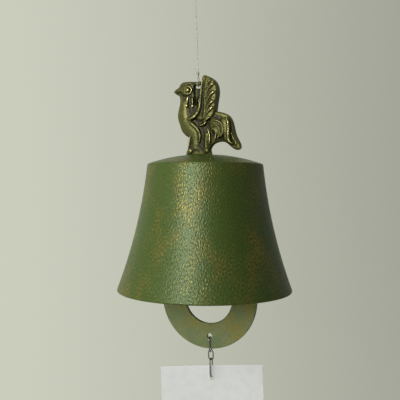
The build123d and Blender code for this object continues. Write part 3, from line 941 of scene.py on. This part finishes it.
def nylon_curve(name, points, diameter, material):
    """A round cord on a smooth quadratic spline through its route."""
    curve = bpy.data.curves.new(name, "CURVE")
    curve.dimensions = "3D"
    curve.bevel_depth = diameter / 2
    curve.bevel_resolution = 5
    curve.use_fill_caps = True
    curve.resolution_u = 10
    spline = curve.splines.new("NURBS")
    spline.points.add(len(points) - 1)
    spline.points.foreach_set("co", np.insert(points, 3, 1.0, axis=1).ravel())
    spline.order_u = 3
    spline.use_endpoint_u = True
    curve.materials.append(material)
    piece = bpy.data.objects.new(name, curve)
    bpy.context.scene.collection.objects.link(piece)
    return piece


def knot_shells(cord, top, bottom):
    """A barrel knot between two heights: wraps of cord climbing round two core strands, and a cut end."""
    radius = cord.diameter / 2
    climb = top - bottom - 2 * radius
    turns = climb / (1.05 * cord.diameter)
    place = np.linspace(0, 1, 90)
    angle = 2 * np.pi * turns * place
    height = bottom + radius + climb * place
    helix = np.stack([cord.wrap_radius * np.cos(angle), cord.wrap_radius * np.sin(angle), height], -1)
    core = np.linspace((0, 0, bottom), (0, 0, top), 8)
    last = helix[-1]
    outward = last * [1, 1, 0] / cord.wrap_radius
    tag = last + np.linspace(0, 1, 12)[:, None] * cord.tag_length * unit(outward + np.array([0, 0, 1.1]))
    return joined([
        skin(tube(helix, radius, radius, (0, 0, 1), 12)),
        skin(tube(core, 0.8 * radius, 0.8 * radius, (0, 1, 0), 12)),
        skin(tube(tag, radius, radius, (0.3, 1, 0), 12)),
    ])


class WINDBELL_OT_line(Operator):
    """Hang the clear nylon: a loop for the hook, the line, a loop round the bird's bar and two knots"""
    bl_idname = "wind_bell.line"
    bl_label = "Nylon Line"

    def execute(self, context):
        settings = context.scene.wind_bell
        cord, bird = settings.cord, settings.bird
        nylon = clear_nylon(settings.finish)
        strand_x = (cord.diameter + cord.strand_gap) / 2
        lead = 6 * cord.diameter

        knots = {}
        for node in ("top_knot", "eye_knot"):
            low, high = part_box(node)
            knots[node] = mesh_object(f"{node}_wraps", *knot_shells(cord, high.z, low.z), nylon)
            stands_for(knots[node], node)
        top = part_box("top_knot")[0].z
        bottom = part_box("eye_knot")[1].z
        sink = cord.strand_sink
        straight = [(0, 0, bottom - sink), (0, 0, bottom + lead), (0, 0, top - lead), (0, 0, top + sink)]
        line = nylon_curve("hanging_line_nylon", np.array(straight), cord.diameter, nylon)
        stands_for(line, "hanging_line")

        hook_radius = cord.hook_radius + cord.diameter / 2
        hook = loop_route(hook_radius, cord.loop_drop + sink, strand_x, lead)
        hook_points = np.stack([hook[:, 0], np.zeros(len(hook)), -cord.hook_radius - hook[:, 1]], -1)
        hook_loop = nylon_curve("hook_loop_nylon", hook_points, cord.diameter, nylon)
        stands_for(hook_loop, "hanging_loop")

        eye = np.array(JOINTS["bell_tilt"]["pos_m"])
        bar = bird.bar_radius + cord.bar_clearance + cord.diameter / 2
        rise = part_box("eye_knot")[0].z - eye[2] + sink
        around = loop_route(bar, rise, strand_x, lead)
        eye_points = eye + np.stack([np.zeros(len(around)), around[:, 0], around[:, 1]], -1)
        eye_loop = nylon_curve("eye_loop_nylon", eye_points, cord.diameter, nylon)
        stands_for(eye_loop, "eye_loop")

        return {"FINISHED"}


class WINDBELL_OT_paper(Operator):
    """Cut the paper strip with its punched hole, and let it bow a little"""
    bl_idname = "wind_bell.paper"
    bl_label = "Paper Strip"

    def execute(self, context):
        settings = context.scene.wind_bell
        paper = settings.paper
        low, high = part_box("paper_strip")
        hole = np.array([(low.x + high.x) / 2, (low.y + high.y) / 2, high.z - paper.hole_margin])
        across = np.array([np.cos(paper.turn), np.sin(paper.turn), 0])
        front = np.array([np.sin(paper.turn), -np.cos(paper.turn), 0])
        half, reach = paper.width / 2, paper.hole_margin
        columns, steps, rows, collar_rows = 40, 12, 60, 14

        # A collar of rings from the round hole to the rectangle about it, and the strip that hangs from that
        x = np.linspace(-half, half, columns + 1)
        z = np.linspace(reach, -reach, steps + 1)
        top_edge = np.stack([x[:-1], np.full(columns, reach)], -1)
        right_edge = np.stack([np.full(steps, half), z[:-1]], -1)
        bottom_edge = np.stack([x[::-1][:-1], np.full(columns, -reach)], -1)
        left_edge = np.stack([np.full(steps, -half), z[::-1][:-1]], -1)
        rim = np.vstack([top_edge, right_edge, bottom_edge, left_edge])
        circle = paper.hole_radius * unit(rim)
        spread = (np.linspace(0, 1, collar_rows) ** 1.5)[:, None, None]
        collar = circle + spread * (rim - circle)
        collar_index = np.arange(collar.shape[0] * collar.shape[1]).reshape(collar.shape[:2])
        inner, outer = collar_index[:-1], collar_index[1:]
        collar_faces = np.stack([inner, np.roll(inner, -1, 1), np.roll(outer, -1, 1), outer], -1)
        seam = collar_index[-1][columns + steps + np.arange(columns + 1)][::-1]
        fall = np.linspace(-reach, reach - paper.length, rows + 1)[1:]
        strip = np.stack(np.meshgrid(x, fall), -1)
        strip_index = collar_index.size + np.arange(strip.shape[0] * strip.shape[1]).reshape(strip.shape[:2])
        sheet_index = np.vstack([seam[None], strip_index])
        upper, lower = sheet_index[:-1], sheet_index[1:]
        strip_faces = np.stack([upper[:, :-1], lower[:, :-1], lower[:, 1:], upper[:, 1:]], -1)
        faces = collar_faces.reshape(-1, 4).tolist() + strip_faces.reshape(-1, 4).tolist()
        plan = np.vstack([collar.reshape(-1, 2), strip.reshape(-1, 2)])

        # The edges curl forward, less at the top where the link holds the paper, and the fall waves once
        depth = np.clip(-plan[:, 1] / paper.length, 0, 1)
        curl = paper.curl * (plan[:, 0] / half) ** 2 * (0.4 + 0.6 * depth)
        bow = curl + paper.wave * np.sin(np.pi * depth) * depth
        points = hole + plan[:, :1] * across + plan[:, 1:] * np.array([0, 0, 1]) + bow[:, None] * front
        sheet = mesh_object("paper_sheet", points, faces, plain_paper(settings.finish))
        solid = sheet.modifiers.new("Thickness", "SOLIDIFY")
        solid.thickness = paper.thickness
        solid.offset = 0
        sheet.data = bpy.data.meshes.new_from_object(sheet.evaluated_get(context.evaluated_depsgraph_get()))
        sheet.modifiers.clear()
        sharpen(sheet, 40)
        stands_for(sheet, "paper_strip")
        return {"FINISHED"}


class WINDBELL_OT_stage(Operator):
    """Set the camera at the photograph's angle, the floor, the pale background and the soft lights"""
    bl_idname = "wind_bell.stage"
    bl_label = "Stage"

    def execute(self, context):
        scene = context.scene
        settings = scene.wind_bell
        stage = settings.stage
        scene.view_settings.view_transform = "Standard"
        right, up, shoulder = bell_frame(settings.bell, settings.bird)
        toward = Vector((np.sin(stage.azimuth), -np.cos(stage.azimuth), 0))
        level_right = Vector((np.cos(stage.azimuth), np.sin(stage.azimuth), 0))
        plumb = Vector((0, 0, 1))
        cam_right = level_right * np.cos(stage.roll) - plumb * np.sin(stage.roll)
        cam_up = plumb * np.cos(stage.roll) + level_right * np.sin(stage.roll)
        target = Vector((0, 0, shoulder[2] - stage.drop)) - level_right * stage.aside
        camera = bpy.data.objects.new("camera", bpy.data.cameras.new("camera"))
        camera.data.lens = stage.lens
        camera.data.clip_start = 0.01
        pose = Matrix((cam_right, cam_up, toward)).transposed().to_4x4()
        pose.translation = target + toward * stage.distance
        camera.matrix_world = pose
        scene.collection.objects.link(camera)
        scene.camera = camera

        floor_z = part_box("paper_strip")[0].z - stage.floor_drop
        angle = np.linspace(0, 2 * np.pi, 96, endpoint=False)
        spread = np.array([stage.floor_radius, stage.floor_radius / 2, 10 * MM])[:, None]
        east, north = spread * np.cos(angle), spread * np.sin(angle)
        circles = np.stack([east, north, np.full_like(east, floor_z)], -1)
        points, faces = skin(circles)
        floor = mesh_object("floor", points, faces[:-2] + faces[-1:], plain_stage(settings.finish))

        def softbox(name, turn_from_camera, rise, distance, side, watts, glints):
            """A square lamp facing the bell, turned from the camera's side and raised by degrees.

            Glints says whether glossy and clear surfaces show it.
            """
            swing, lift = stage.azimuth + np.radians(turn_from_camera), np.radians(rise)
            aim = Vector((np.sin(swing) * np.cos(lift), -np.cos(swing) * np.cos(lift), np.sin(lift)))
            lamp = bpy.data.lights.new(name, "AREA")
            lamp.size = side
            lamp.energy = watts
            box = bpy.data.objects.new(name, lamp)
            box.location = Vector(shoulder) + aim * distance
            box.rotation_euler = aim.to_track_quat("Z", "Y").to_euler()
            box.visible_glossy = box.visible_transmission = glints
            scene.collection.objects.link(box)

        softbox("key_softbox", -26, 16, 0.9, 0.3, 4.0, glints=True)
        softbox("left_softbox", -65, 20, 0.9, 0.6, 6.4, glints=False)
        softbox("back_softbox", 170, 25, 0.9, 0.6, 6.0, glints=False)

        # The camera, gloss and clear surfaces see the backdrop; all else gets it as a weak ambient light
        world = bpy.data.worlds.new("studio")
        world.use_nodes = True
        scene.world = world
        tree = world.node_tree
        tree.nodes.clear()
        rays = add_node(tree, "ShaderNodeLightPath").node.outputs
        either = {0: rays["Is Camera Ray"], 1: rays["Is Glossy Ray"]}
        seen = add_node(tree, "ShaderNodeMath", either, operation="MAXIMUM")
        any_of = {0: seen, 1: rays["Is Transmission Ray"]}
        shown = add_node(tree, "ShaderNodeMath", any_of, operation="MAXIMUM")
        direction = add_node(tree, "ShaderNodeTexCoord", output="Generated")
        sideways = {0: direction, 1: level_right}
        aside = add_node(tree, "ShaderNodeVectorMath", sideways, "Value", operation="DOT_PRODUCT")
        finish = settings.finish
        pale, _ = coat(tree, rgba(finish.backdrop), rgba(finish.backdrop_shade), aside, -0.5, 0.8)
        ambient = add_node(tree, "ShaderNodeBackground", {"Color": pale, "Strength": 0.06})
        backdrop = add_node(tree, "ShaderNodeBackground", {"Color": pale, "Strength": 1.0})
        mixed = add_node(tree, "ShaderNodeMixShader", {0: shown, 1: ambient, 2: backdrop})
        add_node(tree, "ShaderNodeOutputWorld", {"Surface": mixed})
        return {"FINISHED"}


class WINDBELL_PT_panel(Panel):
    """Lists the wind bell's pieces and their sizes"""
    bl_idname = "WINDBELL_PT_panel"
    bl_label = "Wind Bell"
    bl_space_type = "VIEW_3D"
    bl_region_type = "UI"
    bl_category = "Wind Bell"

    def draw(self, context):
        layout = self.layout
        for operator in OPERATORS:
            layout.operator(operator.bl_idname)
        settings = context.scene.wind_bell
        for group in type(settings).__annotations__:
            box = layout.box()
            box.label(text=group.title())
            values = getattr(settings, group)
            for name in type(values).__annotations__:
                box.prop(values, name)


OPERATORS = (
    WINDBELL_OT_line,
    WINDBELL_OT_bell,
    WINDBELL_OT_bird,
    WINDBELL_OT_ring,
    WINDBELL_OT_fittings,
    WINDBELL_OT_links,
    WINDBELL_OT_paper,
    WINDBELL_OT_stage,
)
GROUPS = (BellSizes, BirdSizes, CordSizes, LinkSizes, PaperSizes, Finishes, StageSizes, WindBellSettings)


def register():
    """Add the settings, operators and panel."""
    for cls in GROUPS + OPERATORS + (WINDBELL_PT_panel,):
        bpy.utils.register_class(cls)
    bpy.types.Scene.wind_bell = PointerProperty(type=WindBellSettings)


def unregister():
    """Take them out again, in reverse."""
    del bpy.types.Scene.wind_bell
    for cls in reversed(GROUPS + OPERATORS + (WINDBELL_PT_panel,)):
        bpy.utils.unregister_class(cls)


def main():
    """Build the wind bell."""
    register()
    bpy.ops.wind_bell.line()
    bpy.ops.wind_bell.bell()
    bpy.ops.wind_bell.bird()
    bpy.ops.wind_bell.ring()
    bpy.ops.wind_bell.fittings()
    bpy.ops.wind_bell.links()
    bpy.ops.wind_bell.paper()
    bpy.ops.wind_bell.stage()


if __name__ == "__main__":
    main()
